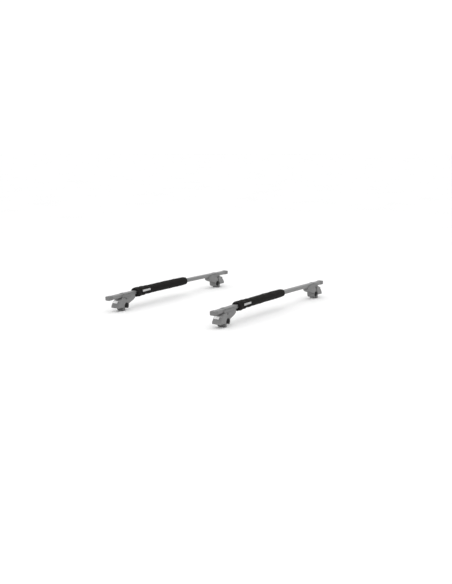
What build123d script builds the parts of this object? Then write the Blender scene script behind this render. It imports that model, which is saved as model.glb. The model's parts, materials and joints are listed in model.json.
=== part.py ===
from build123d import *
import math
import os

# A pair of roof load bars for raised side rails, each with two clamp feet and one wrap-around pad.
# Millimetres. +X is the right-hand side of the rack, +Y its front and +Z up. The origin is on the
# ground plane under the middle of the rack.

# ---- Load bars ----
BAR_LENGTH = 1270.0          # overall, over both end caps
BAR_SPACING = 781.0          # front bar to rear bar, centre to centre
BAR_WIDTH = 32.0             # across the rack's front-to-back direction
BAR_HEIGHT = 22.0
BAR_WALL = 2.0
BAR_CORNER = 4.0
ARCH_RISE = 6.0              # how far mid-span stands above the ends
ARCH_RADIUS = (BAR_LENGTH ** 2 / 4 + ARCH_RISE ** 2) / (2 * ARCH_RISE)

# ---- End caps ----
CAP_WALL = 1.5
CAP_SLEEVE = 28.0
CAP_END = 4.0
CAP_CORNER = 5.0
CAP_END_ROUND = 2.0

# ---- Rails that the feet clamp ----
RAIL_RADIUS = 16.0
RAIL_HEIGHT = 31.34         # centre of the rails above the ground plane
RUBBER = 3.0
SADDLE_CORNER = 2.0
SADDLE_GAP = 0.3             # between the saddle pad and the bar, which curves down towards its ends
SEAT_RADIUS = RAIL_RADIUS + RUBBER
JAW_RADIUS = 24.0
LIP_ANGLE = 55.0             # how far below level each jaw's lip reaches round the rail
FRONT_REACH = 519.0          # middle of the rack to the feet of the front bar, along the bar
REAR_REACH = 492.0
JAW_TRAVEL = 12.0

# ---- Foot body, in the foot's own frame: u outboard, w up, both from the rail's centre ----
SADDLE = 52.6                # underside of the bar
BAR_ABOVE_RAIL = SADDLE + BAR_HEIGHT / 2
BODY_TOP = 50.0
BODY_HALF = 26.0
WING_TIP = 96.0
WING_TIP_HALF = 20.0
WING_TIP_ROUND = 8.0
WING_TIP_BOTTOM = 37.0
WING_KNEE = (-68.0, 23.0)
WING_ROOT = 10.0
FLANGE_END = 30.0
FLANGE_BOTTOM = 43.0
FACE = 17.0                  # outboard face of the body, behind the cover
SEAT_OUTER_ANGLE = 62.0
FACE_BOTTOM = 17.5
CHEEK_START = -94.0
CHEEK_END = 30.0
CHEEK_TOP = 66.0
CHEEK_HALF = 23.0
CHEEK_TOE = 9.0              # height of the cheeks at their inboard end
CHEEK_RAMP = 30.0            # length over which they rise to full height
CHEEK_NOSE = (8.0, 4.0)      # chamfer at their outboard end, along and down
BAR_GAP = 0.15               # between the bar and whatever slides along it
CHANNEL_HALF = BAR_WIDTH / 2 + BAR_GAP

# ---- Cover guides, two arms of the body inside the cover ----
GUIDE_END = 44.0
GUIDE_BOTTOM = 12.0
GUIDE_TOP = 29.5
GUIDE_INNER = 20.0

# ---- Strap over the bar ----
STRAP_THICKNESS = 1.5
STRAP_WIDTH = 28.0
STRAP_BOTTOM = 38.0
STRAP_POCKET = 37.0          # bottom of the pockets for the strap's legs
STRAP_SCREW_HEIGHT = 44.0
SCREW_RADIUS = 3.0
SCREW_HEAD_RADIUS = 5.5
SCREW_HEAD = 3.2
SCREW_HEAD_ROUND = 1.4
SCREW_HEX = 4.0              # across the flats
SCREW_HEX_DEPTH = 2.0
SCREW_TIP = 13.0

# ---- Clamp bolt, nut and outer jaw ----
BOLT_HEIGHT = 27.5
BOLT_RADIUS = 4.0
BOLT_TIP = -41.0
BOLT_BORE_END = -42.0
BOLT_SEAT = 31.2
BOLT_FLANGE_RADIUS = 8.5
BOLT_FLANGE = 1.6
BOLT_HEAD_RADIUS = 6.5
BOLT_HEAD = 6.4
HEX_KEY = 6.0                # across the flats
HEX_DEPTH = 5.0
NUT_SIDE = 13.0
NUT_THICKNESS = 6.5
NUT_START = -32.7
ARM_HALF_WIDTH = 10.5
ARM_HALF_HEIGHT = 6.0
ARM_END = -20.0
ARM_POCKET_END = -22.0
SLIDE_GAP = 0.3
CLOSE_GAP = 0.05
JAW_FACE = 31.0
JAW_HALF = 25.0
JAW_INNER = 18.0
JAW_SHOULDER = 10.5
JAW_HEEL = -22.0             # where the jaw's outboard face starts to round in
JAW_FOOT = (22.0, -31.0)     # outboard end of the edge that the jaw stands on
JAW_TOE = 12.0               # and its inboard end
PAD_TOP_ANGLE = 30.0

# ---- Cover, lock and badge ----
COVER_HALF = 30.0
COVER_WALL = 2.7
COVER_TOP = (33.0, 50.3)
COVER_BULGE = (59.2, 31.7)
COVER_SHOULDER = (79.0, 6.0)
COVER_CHIN = 3.0             # where the outboard face turns straight down
COVER_FACE = 80.0
COVER_BOTTOM = -6.0
COVER_FLOOR = 50.0           # the cover is open underneath inboard of this
COVER_SIDE = [(22.0, COVER_BOTTOM), (22.0, 4.0), (10.0, 22.0), (10.0, BODY_TOP)]
COVER_EDGE = 5.0
COVER_CORNER_HEIGHT = -3.0  # edges below this one stay square
COVER_CORNER_START = 37.0    # and so do edges inboard of this one
LOCK_HEIGHT = 34.0
LOCK_OFFSET = 19.0
LOCK_RADIUS = 6.0
LOCK_BACK = 41.0
LOCK_FACE = 60.0
LOCK_BARREL_BACK = 44.5
LOCK_SPINDLE_RADIUS = 3.0
LOCK_BOSS_RADIUS = 8.0
LOCK_BOSS_BACK = 45.0
LOCK_BOSS_FACE = 60.5
NOTCH_BOTTOM = 25.0          # floor of the notch that the lock's tongue drops into
TONGUE_THICKNESS = 3.0
TONGUE_LENGTH = 8.0
TONGUE_HALF = 4.0
KEY_SLOT_WIDTH = 1.4
KEY_SLOT_HEIGHT = 6.0
KEY_SLOT_DEPTH = 4.0
BADGE_THICKNESS = 0.8
BADGE_START = 0.42           # along the cover's curved face, as a share of it
BADGE_END = 0.71
BADGE_FRONT = 10.0           # the badge's front edge, in the rack's Y from the bar
BADGE_WIDTH = 34.0

# ---- Pads ----
PAD_LENGTH = 514.0
FRONT_PAD_CENTRE = 144.0
REAR_PAD_CENTRE = 127.0
PAD_WIDTH = 56.0
PAD_HEIGHT = 48.0
PAD_CORNER = 20.0
SLEEVE_THICKNESS = 2.0
CLOSURE_WIDTH = 24.0
CLOSURE_THICKNESS = 1.2
CLOSURE_INSET = 10.0
LABEL_LENGTH = 78.0
LABEL_INSET = 44.0           # from the pad's right-hand end
LABEL_BOTTOM = -2.0          # lower edge, from the height of the bar's centre
LABEL_SWEEP = 27.0           # degrees that it runs round the pad's front upper corner
LABEL_THICKNESS = 0.8

# ---- Cuts ----
OVERCUT = 1.0                # how far a cut runs past the face it opens on
DIAGONAL = math.sqrt(0.5)    # share of a 45 degree move along each axis

os.makedirs("parts", exist_ok=True)


def finish(piece, name):
    """Name a finished piece and write it."""
    piece.label = name
    export_step(piece, f"parts/{name}.step")


# ---------------------------------------------------------------- bar geometry

def tilt_at(reach):
    """Slope of the bar in radians, at a distance from the middle of the rack."""
    return math.asin(reach / ARCH_RADIUS)


def crown_height(reach):
    """Height of the bar's centre at mid-span that stands its feet on the rails."""
    tilt = tilt_at(reach)
    return RAIL_HEIGHT + BAR_ABOVE_RAIL * math.cos(tilt) + ARCH_RADIUS * (1 - math.cos(tilt))


def bar_plane(x, bar_y, crown):
    """Plane across the bar at x, with its own x along the rack's Y and its normal outboard."""
    tilt = tilt_at(x)
    height = crown - ARCH_RADIUS * (1 - math.cos(tilt))
    return Plane(origin=(x, bar_y, height), x_dir=(0, 1, 0), z_dir=(math.cos(tilt), 0, -math.sin(tilt)))


def bar_run(start, end, bar_y, crown):
    """The arc that the bar's centre follows between two values of x."""
    points = [bar_plane(x, bar_y, crown).origin for x in (start, (start + end) / 2, end)]
    return ThreePointArc(*points)


def bar_tube(bar_y, crown):
    """Rectangular steel tube, gently arched."""
    half = BAR_LENGTH / 2 - CAP_END
    with BuildPart() as tube:
        with BuildLine() as path:
            bar_run(-half, half, bar_y, crown)
        with BuildSketch(bar_plane(-half, bar_y, crown)):
            RectangleRounded(BAR_WIDTH, BAR_HEIGHT, BAR_CORNER)
            RectangleRounded(BAR_WIDTH - 2 * BAR_WALL, BAR_HEIGHT - 2 * BAR_WALL,
                             BAR_CORNER - BAR_WALL, mode=Mode.SUBTRACT)
        sweep(path=path.line)
    return tube.part


def bar_cap(bar_y, crown):
    """Moulded cap that sleeves over the right-hand end of the bar."""
    end = bar_plane(BAR_LENGTH / 2, bar_y, crown)
    with BuildPart() as cap:
        with BuildSketch(end):
            RectangleRounded(BAR_WIDTH + 2 * CAP_WALL, BAR_HEIGHT + 2 * CAP_WALL, CAP_CORNER)
        extrude(amount=-(CAP_SLEEVE + CAP_END))
        outer_face = cap.faces().sort_by(Axis.X)[-1]
        fillet(outer_face.edges(), radius=CAP_END_ROUND)
        with BuildSketch(end.offset(-CAP_END)):
            RectangleRounded(BAR_WIDTH + 2 * CLOSE_GAP, BAR_HEIGHT + 2 * CLOSE_GAP, BAR_CORNER)
        extrude(amount=-CAP_SLEEVE, mode=Mode.SUBTRACT)
    return cap.part


# ---------------------------------------------------------------- foot geometry

def foot_side(bar_y, reach):
    """Side plane of a right-hand foot: its x is u, its y is w and its origin the rail's centre."""
    tilt = tilt_at(reach)
    inset = BAR_ABOVE_RAIL * math.sin(tilt)
    return Plane(origin=(reach - inset, bar_y, RAIL_HEIGHT),
                 x_dir=(math.cos(tilt), 0, -math.sin(tilt)), z_dir=(0, -1, 0))


def foot_plan(side, w):
    """Plane seen from above the foot at height w: its x is u and its y is the rack's Y."""
    return Plane(origin=side.from_local_coords((0, w, 0)), x_dir=side.x_dir, z_dir=side.y_dir)


def foot_end(side, u, w, y):
    """Plane that faces outboard at u, centred on w and y: its x is the rack's Y, its y is w."""
    return Plane(origin=side.from_local_coords((u, w, -y)), x_dir=(0, 1, 0), z_dir=side.x_dir)


def around_rail(radius, degrees):
    """Point at an angle round the rail, counted up from the outboard side."""
    angle = math.radians(degrees)
    return (radius * math.cos(angle), radius * math.sin(angle))


def rail_arc(radius, start, end):
    """Arc round the rail between two angles, for use in a line context."""
    return ThreePointArc(around_rail(radius, start), around_rail(radius, (start + end) / 2),
                         around_rail(radius, end))


def cut_block(u_range, w_range, y_range):
    """Cut a block from the open part, given its extent in u, w and the rack's Y."""
    middle = (sum(u_range) / 2, sum(w_range) / 2, -sum(y_range) / 2)
    with Locations(middle):
        Box(u_range[1] - u_range[0], w_range[1] - w_range[0], y_range[1] - y_range[0], mode=Mode.SUBTRACT)


def foot_body(side):
    """Moulded body: bar channel, inboard wing, rail seat, fixed inner jaw and cover guides."""
    inner_lip = 180 + LIP_ANGLE
    with BuildPart(side) as body:
        with BuildSketch(side):
            with BuildLine():
                Polyline((-WING_TIP, BODY_TOP), (FLANGE_END, BODY_TOP), (FLANGE_END, FLANGE_BOTTOM),
                         (FACE, FLANGE_BOTTOM), (FACE, FACE_BOTTOM),
                         around_rail(SEAT_RADIUS, SEAT_OUTER_ANGLE))
                rail_arc(SEAT_RADIUS, SEAT_OUTER_ANGLE, inner_lip)
                Line(around_rail(SEAT_RADIUS, inner_lip), around_rail(JAW_RADIUS, inner_lip))
                rail_arc(JAW_RADIUS, inner_lip, 180)
                Polyline((-JAW_RADIUS, 0), (-JAW_RADIUS, WING_ROOT), WING_KNEE,
                         (-WING_TIP, WING_TIP_BOTTOM), (-WING_TIP, BODY_TOP))
            make_face()
        extrude(amount=BODY_HALF, both=True)
        with BuildSketch(side):
            with BuildLine():
                Polyline((CHEEK_START, BODY_TOP), (CHEEK_END, BODY_TOP),
                         (CHEEK_END, CHEEK_TOP - CHEEK_NOSE[1]), (CHEEK_END - CHEEK_NOSE[0], CHEEK_TOP),
                         (CHEEK_START + CHEEK_RAMP, CHEEK_TOP), (CHEEK_START, BODY_TOP + CHEEK_TOE),
                         close=True)
            make_face()
        extrude(amount=CHEEK_HALF, both=True)
        with BuildSketch(side):
            with Locations(((FACE + GUIDE_END) / 2, (GUIDE_BOTTOM + GUIDE_TOP) / 2)):
                Rectangle(GUIDE_END - FACE, GUIDE_TOP - GUIDE_BOTTOM)
        extrude(amount=BODY_HALF, both=True)
        cut_block((FACE, GUIDE_END), (GUIDE_BOTTOM, GUIDE_TOP), (-GUIDE_INNER, GUIDE_INNER))
        with BuildSketch(foot_plan(side, -JAW_RADIUS)) as plan:
            with BuildLine():
                Polyline((-WING_TIP, -WING_TIP_HALF), (-JAW_RADIUS, -BODY_HALF), (GUIDE_END, -BODY_HALF),
                         (GUIDE_END, BODY_HALF), (-JAW_RADIUS, BODY_HALF), (-WING_TIP, WING_TIP_HALF),
                         close=True)
            make_face()
            fillet(plan.vertices().sort_by(Axis.X)[:2], radius=WING_TIP_ROUND)
        extrude(amount=JAW_RADIUS + CHEEK_TOP, mode=Mode.INTERSECT)
        # Channel for the bar, with deeper pockets for the strap's legs.
        cut_block((-WING_TIP, FLANGE_END), (BODY_TOP, CHEEK_TOP), (-CHANNEL_HALF, CHANNEL_HALF))
        strap_half = STRAP_WIDTH / 2 + SLIDE_GAP
        leg_inner = CHANNEL_HALF - CLOSE_GAP
        leg_outer = CHANNEL_HALF + STRAP_THICKNESS + CLOSE_GAP
        cut_block((-strap_half, strap_half), (STRAP_POCKET, CHEEK_TOP), (leg_inner, leg_outer))
        cut_block((-strap_half, strap_half), (STRAP_POCKET, CHEEK_TOP), (-leg_outer, -leg_inner))
        # Screw holes for the strap, straight across.
        with BuildSketch(side):
            with Locations((0, STRAP_SCREW_HEIGHT)):
                Circle(SCREW_RADIUS + CLOSE_GAP)
        extrude(amount=BODY_HALF, both=True, mode=Mode.SUBTRACT)
        # Pocket for the outer jaw's arm, bore for the bolt and slot for its nut.
        arm_half = ARM_HALF_WIDTH + SLIDE_GAP
        arm_height = ARM_HALF_HEIGHT + SLIDE_GAP
        cut_block((ARM_POCKET_END, FACE), (BOLT_HEIGHT - arm_height, BOLT_HEIGHT + arm_height),
                  (-arm_half, arm_half))
        with BuildSketch(foot_end(side, BOLT_BORE_END, BOLT_HEIGHT, 0)):
            Circle(BOLT_RADIUS + SLIDE_GAP)
        extrude(amount=ARM_POCKET_END + OVERCUT - BOLT_BORE_END, mode=Mode.SUBTRACT)
        nut_half = NUT_SIDE / 2 + CLOSE_GAP
        cut_block((NUT_START - CLOSE_GAP, NUT_START + NUT_THICKNESS + CLOSE_GAP),
                  (BOLT_HEIGHT - nut_half, BODY_TOP), (-nut_half, nut_half))
        # Notch that the lock's tongue drops into.
        cut_block((LOCK_BACK - TONGUE_THICKNESS - SLIDE_GAP, LOCK_BACK + SLIDE_GAP),
                  (NOTCH_BOTTOM, GUIDE_TOP), (GUIDE_INNER, BODY_HALF))
    return body.part


def saddle_pad(side):
    """Rubber strip between the body and the underside of the bar."""
    with BuildPart() as pad:
        with BuildSketch(foot_plan(side, BODY_TOP)) as outline:
            with Locations(((CHEEK_START + CHEEK_END) / 2, 0)):
                Rectangle(CHEEK_END - CHEEK_START, 2 * (CHANNEL_HALF - SLIDE_GAP))
            fillet(outline.vertices(), radius=SADDLE_CORNER)
        extrude(amount=SADDLE - SADDLE_GAP - BODY_TOP)
    return pad.part


def bar_strap(side):
    """Steel strap over the bar, its two legs held by screws inside the body."""
    half = CHANNEL_HALF
    outer = half + STRAP_THICKNESS
    top = SADDLE + BAR_HEIGHT + BAR_GAP
    outer_top = top + STRAP_THICKNESS
    with BuildPart() as strap:
        with BuildSketch(foot_end(side, -STRAP_WIDTH / 2, 0, 0)) as bend:
            with BuildLine():
                Polyline((-outer, STRAP_BOTTOM), (-outer, outer_top), (outer, outer_top),
                         (outer, STRAP_BOTTOM), (half, STRAP_BOTTOM), (half, top), (-half, top),
                         (-half, STRAP_BOTTOM), close=True)
            make_face()
            inner_bends = bend.vertices().filter_by_position(Axis.Y, top - CLOSE_GAP, top + CLOSE_GAP)
            fillet(inner_bends, radius=BAR_CORNER)
            outer_bends = bend.vertices().filter_by_position(Axis.Y, outer_top - CLOSE_GAP,
                                                             outer_top + CLOSE_GAP)
            fillet(outer_bends, radius=BAR_CORNER + STRAP_THICKNESS)
        extrude(amount=STRAP_WIDTH)
        with BuildSketch(side):
            with Locations((0, STRAP_SCREW_HEIGHT)):
                Circle(SCREW_RADIUS + CLOSE_GAP)
        extrude(amount=BODY_HALF, both=True, mode=Mode.SUBTRACT)
    return strap.part


def strap_screws(side):
    """Two button-head screws, one through each side of the body into the strap."""
    with BuildPart() as screws:
        for facing in (-1, 1):
            seat = side.offset(facing * BODY_HALF)
            with BuildSketch(seat):
                with Locations((0, STRAP_SCREW_HEIGHT)):
                    Circle(SCREW_RADIUS)
            extrude(amount=facing * (SCREW_TIP - BODY_HALF))
            with BuildSketch(seat):
                with Locations((0, STRAP_SCREW_HEIGHT)):
                    Circle(SCREW_HEAD_RADIUS)
            extrude(amount=facing * SCREW_HEAD)
            rim = screws.faces().sort_by(Axis.Y)[0 if facing > 0 else -1]
            fillet(rim.edges(), radius=SCREW_HEAD_ROUND)
            with BuildSketch(seat.offset(facing * SCREW_HEAD)):
                with Locations((0, STRAP_SCREW_HEIGHT)):
                    RegularPolygon(radius=SCREW_HEX / 2, side_count=6, major_radius=False)
            extrude(amount=-facing * SCREW_HEX_DEPTH, mode=Mode.SUBTRACT)
    return screws.part


def rail_liner(side):
    """Rubber lining of the body's rail seat and inner jaw."""
    inner_lip = 180 + LIP_ANGLE
    with BuildPart() as liner:
        with BuildSketch(side):
            with BuildLine():
                rail_arc(SEAT_RADIUS, SEAT_OUTER_ANGLE, inner_lip)
                Line(around_rail(SEAT_RADIUS, inner_lip), around_rail(RAIL_RADIUS, inner_lip))
                rail_arc(RAIL_RADIUS, inner_lip, SEAT_OUTER_ANGLE)
                Line(around_rail(RAIL_RADIUS, SEAT_OUTER_ANGLE), around_rail(SEAT_RADIUS, SEAT_OUTER_ANGLE))
            make_face()
        extrude(amount=JAW_HALF, both=True)
    return liner.part


def outer_jaw(side):
    """Sliding jaw: a hooked plate outboard of the rail, its foot on the ground, and an arm in the body."""
    with BuildPart() as jaw:
        with BuildSketch(side):
            with BuildLine():
                rail_arc(SEAT_RADIUS, -LIP_ANGLE, PAD_TOP_ANGLE)
                Polyline(around_rail(SEAT_RADIUS, PAD_TOP_ANGLE), (JAW_INNER, JAW_SHOULDER),
                         (JAW_FACE, JAW_SHOULDER), (JAW_FACE, JAW_HEEL))
                RadiusArc((JAW_FACE, JAW_HEEL), JAW_FOOT, JAW_FACE - JAW_FOOT[0])
                Polyline(JAW_FOOT, (JAW_TOE, JAW_FOOT[1]), around_rail(SEAT_RADIUS, -LIP_ANGLE))
            make_face()
        extrude(amount=JAW_HALF, both=True)
        with BuildSketch(side):
            with Locations(((JAW_INNER + JAW_FACE) / 2, (JAW_SHOULDER + BOLT_HEIGHT) / 2)):
                Rectangle(JAW_FACE - JAW_INNER, BOLT_HEIGHT - JAW_SHOULDER)
            with Locations(((ARM_END + JAW_FACE) / 2, BOLT_HEIGHT)):
                Rectangle(JAW_FACE - ARM_END, 2 * ARM_HALF_HEIGHT)
        extrude(amount=ARM_HALF_WIDTH, both=True)
        with BuildSketch(foot_end(side, ARM_END, BOLT_HEIGHT, 0)):
            Circle(BOLT_RADIUS + SLIDE_GAP)
        extrude(amount=JAW_FACE - ARM_END, mode=Mode.SUBTRACT)
    return jaw.part


def jaw_pad(side):
    """Rubber lining of the outer jaw."""
    with BuildPart() as pad:
        with BuildSketch(side):
            with BuildLine():
                rail_arc(SEAT_RADIUS, -LIP_ANGLE, PAD_TOP_ANGLE)
                Line(around_rail(SEAT_RADIUS, PAD_TOP_ANGLE), around_rail(RAIL_RADIUS, PAD_TOP_ANGLE))
                rail_arc(RAIL_RADIUS, PAD_TOP_ANGLE, -LIP_ANGLE)
                Line(around_rail(RAIL_RADIUS, -LIP_ANGLE), around_rail(SEAT_RADIUS, -LIP_ANGLE))
            make_face()
        extrude(amount=JAW_HALF, both=True)
    return pad.part


def clamp_bolt(side):
    """Flanged socket-head bolt that draws the outer jaw in."""
    with BuildPart() as bolt:
        with BuildSketch(foot_end(side, BOLT_TIP, BOLT_HEIGHT, 0)):
            Circle(BOLT_RADIUS)
        extrude(amount=BOLT_SEAT - BOLT_TIP)
        with BuildSketch(foot_end(side, BOLT_SEAT, BOLT_HEIGHT, 0)):
            Circle(BOLT_FLANGE_RADIUS)
        extrude(amount=BOLT_FLANGE)
        with BuildSketch(foot_end(side, BOLT_SEAT + BOLT_FLANGE, BOLT_HEIGHT, 0)):
            Circle(BOLT_HEAD_RADIUS)
        extrude(amount=BOLT_HEAD)
        with BuildSketch(foot_end(side, BOLT_SEAT + BOLT_FLANGE + BOLT_HEAD, BOLT_HEIGHT, 0)):
            RegularPolygon(radius=HEX_KEY / 2, side_count=6, major_radius=False)
        extrude(amount=-HEX_DEPTH, mode=Mode.SUBTRACT)
    return bolt.part


def clamp_nut(side):
    """Square nut held in the body."""
    with BuildPart() as nut:
        with BuildSketch(foot_end(side, NUT_START, BOLT_HEIGHT, 0)):
            Rectangle(NUT_SIDE, NUT_SIDE)
            Circle(BOLT_RADIUS + CLOSE_GAP, mode=Mode.SUBTRACT)
        extrude(amount=NUT_THICKNESS)
    return nut.part


def cover_face(inset):
    """Curved and outboard faces of the cover in side view, moved in by inset."""
    slant = inset * DIAGONAL
    shoulder = (COVER_SHOULDER[0] - inset, COVER_SHOULDER[1])
    with BuildLine() as outline:
        ThreePointArc((COVER_TOP[0] - slant, COVER_TOP[1] - slant),
                      (COVER_BULGE[0] - slant, COVER_BULGE[1] - slant), shoulder)
        Polyline(shoulder, (COVER_FACE - inset, COVER_CHIN), (COVER_FACE - inset, COVER_BOTTOM + inset))
    return outline.line


def cover(side):
    """Quarter-round shell over the clamp, with a collar for the lock and a recess for the badge."""
    with BuildPart() as shell:
        with BuildSketch(side):
            with BuildLine():
                add(cover_face(0))
                Polyline((COVER_FACE, COVER_BOTTOM), *COVER_SIDE, COVER_TOP)
            make_face()
        extrude(amount=COVER_HALF, both=True)
        corner = side.from_local_coords((COVER_CORNER_START, COVER_CORNER_HEIGHT, 0))
        rims = shell.edges().filter_by(lambda edge: abs(edge.center().Y - corner.Y) > COVER_HALF - CLOSE_GAP)
        rims = rims.filter_by(lambda edge: edge.center().Z > corner.Z and edge.center().X > corner.X)
        fillet(rims, radius=COVER_EDGE)
        with BuildSketch(side):
            with BuildLine():
                add(cover_face(COVER_WALL))
                above = COVER_TOP[1] + OVERCUT
                below = COVER_BOTTOM - OVERCUT
                slant = COVER_WALL * DIAGONAL
                Polyline((COVER_FACE - COVER_WALL, COVER_BOTTOM + COVER_WALL),
                         (COVER_FLOOR, COVER_BOTTOM + COVER_WALL), (COVER_FLOOR, below), (0, below),
                         (0, above), (COVER_TOP[0] - slant - OVERCUT, above),
                         (COVER_TOP[0] - slant, COVER_TOP[1] - slant))
            make_face()
        extrude(amount=COVER_HALF - COVER_WALL, both=True, mode=Mode.SUBTRACT)
        with BuildSketch(foot_end(side, LOCK_BOSS_BACK, LOCK_HEIGHT, LOCK_OFFSET)):
            Circle(LOCK_BOSS_RADIUS)
        extrude(amount=LOCK_BOSS_FACE - LOCK_BOSS_BACK)
        with BuildSketch(foot_end(side, LOCK_BOSS_BACK - OVERCUT, LOCK_HEIGHT, LOCK_OFFSET)):
            Circle(LOCK_RADIUS + CLOSE_GAP)
        extrude(amount=LOCK_BOSS_FACE - LOCK_BOSS_BACK + 2 * OVERCUT, mode=Mode.SUBTRACT)
    return shell.part


def lock_cylinder(side):
    """Lock barrel with its key slot, and the tongue that turns down into the body's notch."""
    with BuildPart() as lock:
        with BuildSketch(foot_end(side, LOCK_BARREL_BACK, LOCK_HEIGHT, LOCK_OFFSET)):
            Circle(LOCK_RADIUS)
        extrude(amount=LOCK_FACE - LOCK_BARREL_BACK)
        with BuildSketch(foot_end(side, LOCK_BACK, LOCK_HEIGHT, LOCK_OFFSET)):
            Circle(LOCK_SPINDLE_RADIUS)
        extrude(amount=LOCK_BARREL_BACK - LOCK_BACK)
        with BuildSketch(foot_end(side, LOCK_BACK - TONGUE_THICKNESS, LOCK_HEIGHT, LOCK_OFFSET)):
            with Locations(((TONGUE_HALF - TONGUE_LENGTH) / 2, 0)):
                Rectangle(TONGUE_LENGTH + TONGUE_HALF, 2 * TONGUE_HALF)
        extrude(amount=TONGUE_THICKNESS)
        with BuildSketch(foot_end(side, LOCK_FACE, LOCK_HEIGHT, LOCK_OFFSET)):
            Rectangle(KEY_SLOT_WIDTH, KEY_SLOT_HEIGHT)
        extrude(amount=-KEY_SLOT_DEPTH, mode=Mode.SUBTRACT)
    return lock.part


def badge(side):
    """Plain blank badge bonded to the cover's curved face."""
    face = ThreePointArc(COVER_TOP, COVER_BULGE, COVER_SHOULDER)
    shares = (BADGE_START, (BADGE_START + BADGE_END) / 2, BADGE_END)
    inner = [face @ share for share in shares]
    outer = [face @ share + (face % share).rotate(Axis.Z, 90) * BADGE_THICKNESS for share in shares]
    with BuildPart() as plate:
        with BuildSketch(side.offset(-BADGE_FRONT)):
            with BuildLine():
                ThreePointArc(*inner)
                Line(inner[-1], outer[-1])
                ThreePointArc(*reversed(outer))
                Line(outer[0], inner[0])
            make_face()
        extrude(amount=BADGE_WIDTH)
    return plate.part


# ---------------------------------------------------------------- pads

def pad_run(centre, bar_y, crown, length):
    """Path of a pad or of something on it, and the plane across its left-hand end."""
    start = centre - length / 2
    return bar_run(start, centre + length / 2, bar_y, crown), bar_plane(start, bar_y, crown)


def pad_foam(centre, bar_y, crown):
    """Foam core wrapped round the bar."""
    run, across = pad_run(centre, bar_y, crown, PAD_LENGTH)
    with BuildPart() as foam:
        with BuildLine() as path:
            add(run)
        with BuildSketch(across):
            thickness = SLEEVE_THICKNESS + CLOSE_GAP
            RectangleRounded(PAD_WIDTH - 2 * thickness, PAD_HEIGHT - 2 * thickness, PAD_CORNER - thickness)
            RectangleRounded(BAR_WIDTH + 2 * BAR_GAP, BAR_HEIGHT + 2 * BAR_GAP, BAR_CORNER,
                             mode=Mode.SUBTRACT)
        sweep(path=path.line)
    return foam.part


def pad_sleeve(centre, bar_y, crown):
    """Fabric sleeve round the foam."""
    run, across = pad_run(centre, bar_y, crown, PAD_LENGTH)
    with BuildPart() as sleeve:
        with BuildLine() as path:
            add(run)
        with BuildSketch(across):
            RectangleRounded(PAD_WIDTH, PAD_HEIGHT, PAD_CORNER)
            RectangleRounded(PAD_WIDTH - 2 * SLEEVE_THICKNESS, PAD_HEIGHT - 2 * SLEEVE_THICKNESS,
                             PAD_CORNER - SLEEVE_THICKNESS, mode=Mode.SUBTRACT)
        sweep(path=path.line)
    return sleeve.part


def pad_closure(centre, bar_y, crown):
    """Hook-and-loop strip that closes the sleeve along its underside."""
    run, across = pad_run(centre, bar_y, crown, PAD_LENGTH - 2 * CLOSURE_INSET)
    with BuildPart() as closure:
        with BuildLine() as path:
            add(run)
        with BuildSketch(across):
            with Locations((0, -(PAD_HEIGHT + CLOSURE_THICKNESS) / 2)):
                Rectangle(CLOSURE_WIDTH, CLOSURE_THICKNESS)
        sweep(path=path.line)
    return closure.part


def pad_label(centre, bar_y, crown):
    """Blank label sewn to the pad's front and up its corner, near its right-hand end."""
    label_centre = centre + (PAD_LENGTH - LABEL_LENGTH) / 2 - LABEL_INSET
    run, across = pad_run(label_centre, bar_y, crown, LABEL_LENGTH)
    corner = (PAD_WIDTH / 2 - PAD_CORNER, PAD_HEIGHT / 2 - PAD_CORNER)
    with BuildPart() as label:
        with BuildLine() as path:
            add(run)
        with BuildSketch(across):
            with BuildLine():
                inner = CenterArc(corner, PAD_CORNER, 0, LABEL_SWEEP)
                outer = CenterArc(corner, PAD_CORNER + LABEL_THICKNESS, 0, LABEL_SWEEP)
                Line(inner @ 1, outer @ 1)
                Polyline(inner @ 0, (PAD_WIDTH / 2, LABEL_BOTTOM),
                         (PAD_WIDTH / 2 + LABEL_THICKNESS, LABEL_BOTTOM), outer @ 0)
            make_face()
        sweep(path=path.line)
    return label.part


# ---------------------------------------------------------------- the whole rack

FOOT_PIECES = (foot_body, saddle_pad, bar_strap, strap_screws, rail_liner, outer_jaw, jaw_pad,
               clamp_bolt, clamp_nut, cover, lock_cylinder, badge)
PAD_PIECES = (pad_foam, pad_sleeve, pad_closure, pad_label)

for place, bar_y, reach, pad_centre in (("front", BAR_SPACING / 2, FRONT_REACH, FRONT_PAD_CENTRE),
                                        ("rear", -BAR_SPACING / 2, REAR_REACH, REAR_PAD_CENTRE)):
    crown = crown_height(reach)
    finish(bar_tube(bar_y, crown), f"{place}_bar_tube")
    right_cap = bar_cap(bar_y, crown)
    finish(Compound(children=[right_cap, mirror(right_cap, about=Plane.YZ)]), f"{place}_bar_caps")
    for make in PAD_PIECES:
        finish(make(pad_centre, bar_y, crown), f"{place}_{make.__name__}")
    side = foot_side(bar_y, reach)
    for make in FOOT_PIECES:
        piece = make(side)
        finish(piece, f"{place}_right_{make.__name__}")
        finish(mirror(piece, about=Plane.YZ), f"{place}_left_{make.__name__}")
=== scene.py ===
import json
import math

import bmesh
import bpy
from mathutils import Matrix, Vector, noise
from mathutils.bvhtree import BVHTree


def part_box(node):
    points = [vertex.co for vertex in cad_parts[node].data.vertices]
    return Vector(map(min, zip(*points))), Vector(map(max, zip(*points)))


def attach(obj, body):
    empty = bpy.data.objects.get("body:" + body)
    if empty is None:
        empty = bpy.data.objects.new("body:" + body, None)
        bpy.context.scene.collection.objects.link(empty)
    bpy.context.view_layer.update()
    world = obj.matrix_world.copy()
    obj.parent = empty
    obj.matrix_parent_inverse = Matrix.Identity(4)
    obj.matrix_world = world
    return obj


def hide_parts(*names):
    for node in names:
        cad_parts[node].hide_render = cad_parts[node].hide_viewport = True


# A pair of roof load bars on clamp feet, each bar wrapped in a padded cloth sleeve.
# Metres, in the rack's own frame: +X right, +Y front, +Z up.

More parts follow.
